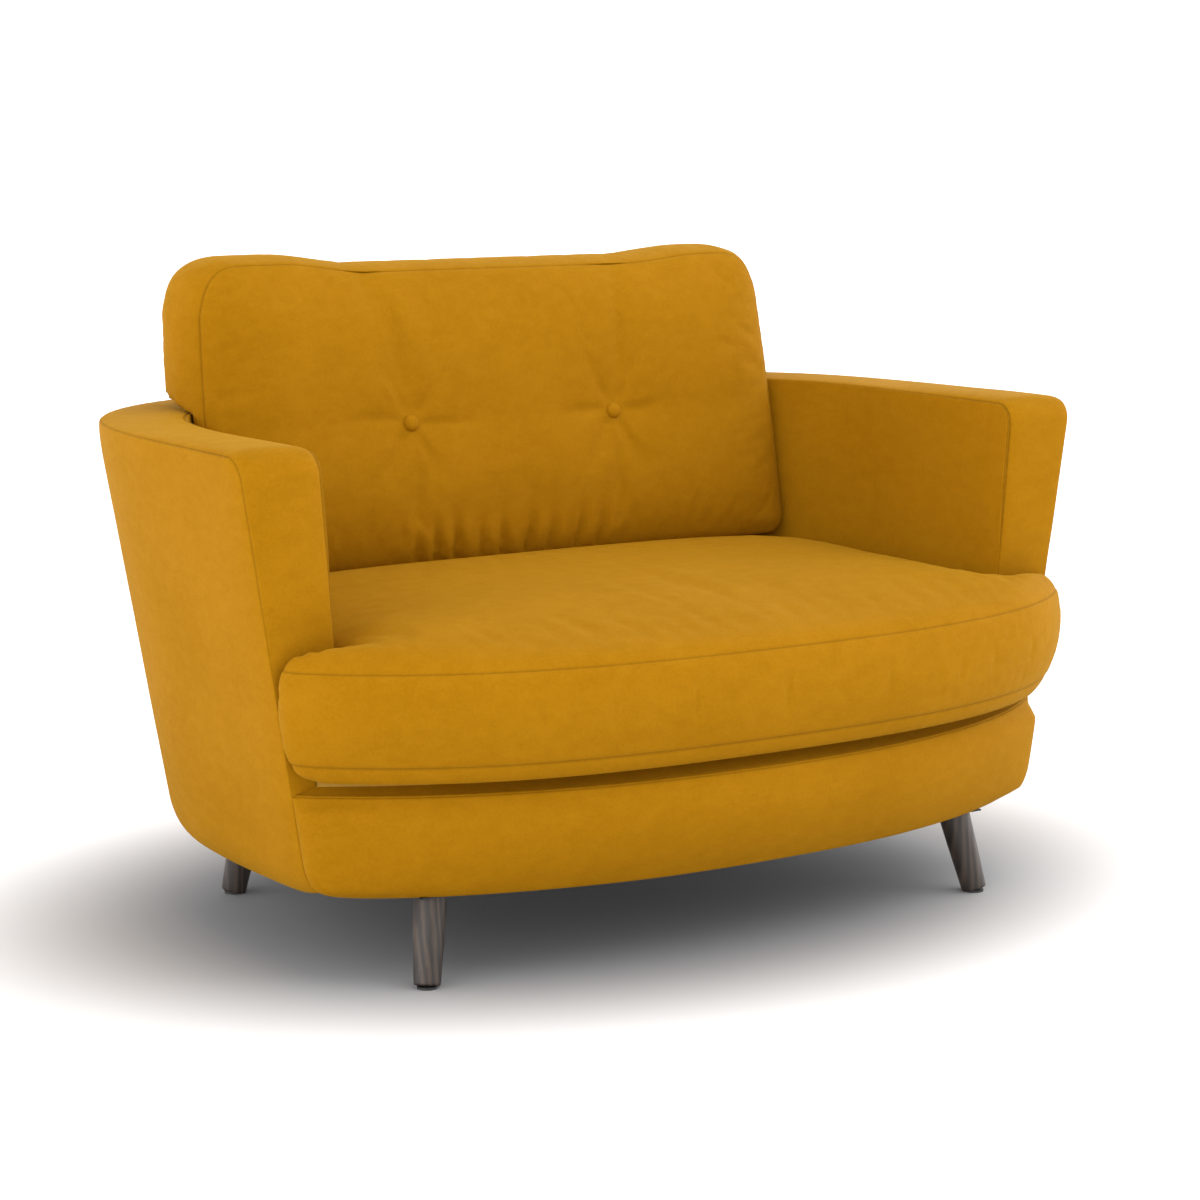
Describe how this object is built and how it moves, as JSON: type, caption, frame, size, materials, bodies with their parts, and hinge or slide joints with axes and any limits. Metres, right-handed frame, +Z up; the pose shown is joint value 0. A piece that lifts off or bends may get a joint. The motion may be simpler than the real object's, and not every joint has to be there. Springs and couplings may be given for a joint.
{
  "type": "sofa",
  "caption": "Tub sofa for sitting on: low curved shell of flared arms and back, bow-front seat cushion with wings, buttoned back cushion, round splayed wooden legs.",
  "frame": {"origin": "on the floor, under the middle of the sofa's width and depth", "axes": "+X towards the right arm as seen from the front, +Y towards the back, +Z up"},
  "size_m": [1.3043, 0.976, 0.878],
  "materials": {
    "velvet": "short matte velvet pile, mustard",
    "leg_walnut": "dark walnut stain, satin lacquer",
    "frame_timber": "sawn hardwood and plywood",
    "foam": "upholstery foam and fibre fill",
    "dust_cloth": "black non-woven cloth",
    "deck_cloth": "plain lining cloth",
    "steel": "plain steel",
    "glide_plastic": "moulded",
    "twine": "waxed twine",
    "zip": "nylon coil zip on woven tape"
  },
  "bodies": {
    "root": {"arm_front_cover_left": "velvet", "arm_front_cover_right": "velvet", "arm_front_foam_left": "foam", "arm_front_foam_right": "foam", "arm_post_front_left": "frame_timber", "arm_post_front_right": "frame_timber", "arm_post_rear_left": "frame_timber", "arm_post_rear_right": "frame_timber", "back_post_left": "frame_timber", "back_post_right": "frame_timber", "back_rail": "frame_timber", "centre_rail": "frame_timber", "deck_cover": "deck_cloth", "deck_pad": "foam", "dust_cover": "dust_cloth", "front_rail": "frame_timber", "front_rail_cover": "velvet", "front_rail_foam": "foam", "inside_cover_back": "velvet", "inside_cover_left": "velvet", "inside_cover_right": "velvet", "inside_foam_back": "foam", "inside_foam_left": "foam", "inside_foam_right": "foam", "leg_back_left": "leg_walnut", "leg_back_right": "leg_walnut", "leg_block_back_left": "frame_timber", "leg_block_back_right": "frame_timber", "leg_block_front_left": "frame_timber", "leg_block_front_right": "frame_timber", "leg_bolts": "steel", "leg_front_left": "leg_walnut", "leg_front_right": "leg_walnut", "leg_glides": "glide_plastic", "leg_plates": "steel", "outside_cover_back": "velvet", "outside_cover_left": "velvet", "outside_cover_right": "velvet", "seat_springs": "steel", "shoulder_cover_back": "velvet", "shoulder_cover_left": "velvet", "shoulder_cover_right": "velvet", "shoulder_foam_back": "foam", "shoulder_foam_left": "foam", "shoulder_foam_right": "foam", "side_rail_left": "frame_timber", "side_rail_right": "frame_timber", "top_rail_back": "frame_timber", "top_rail_left": "frame_timber", "top_rail_right": "frame_timber"},
    "seat_cushion": {"seat_cushion_core": "foam", "seat_cushion_cover": "velvet", "seat_cushion_zip": "zip"},
    "back_cushion": {"back_cushion_cover": "velvet", "back_cushion_fill": "foam", "back_cushion_zip": "zip", "button_left": "velvet", "button_right": "velvet", "rear_buttons": "velvet", "button_twines": "twine"}
  },
  "joints": [
    {"name": "seat_cushion_lift", "type": "slide", "parent": "root", "child": "seat_cushion", "axis": [0, 0, 1], "range_m": [0, 0.45]},
    {"name": "back_cushion_lift", "type": "slide", "parent": "seat_cushion", "child": "back_cushion", "axis": [0, 0, 1], "range_m": [0, 0.3]}
  ]
}
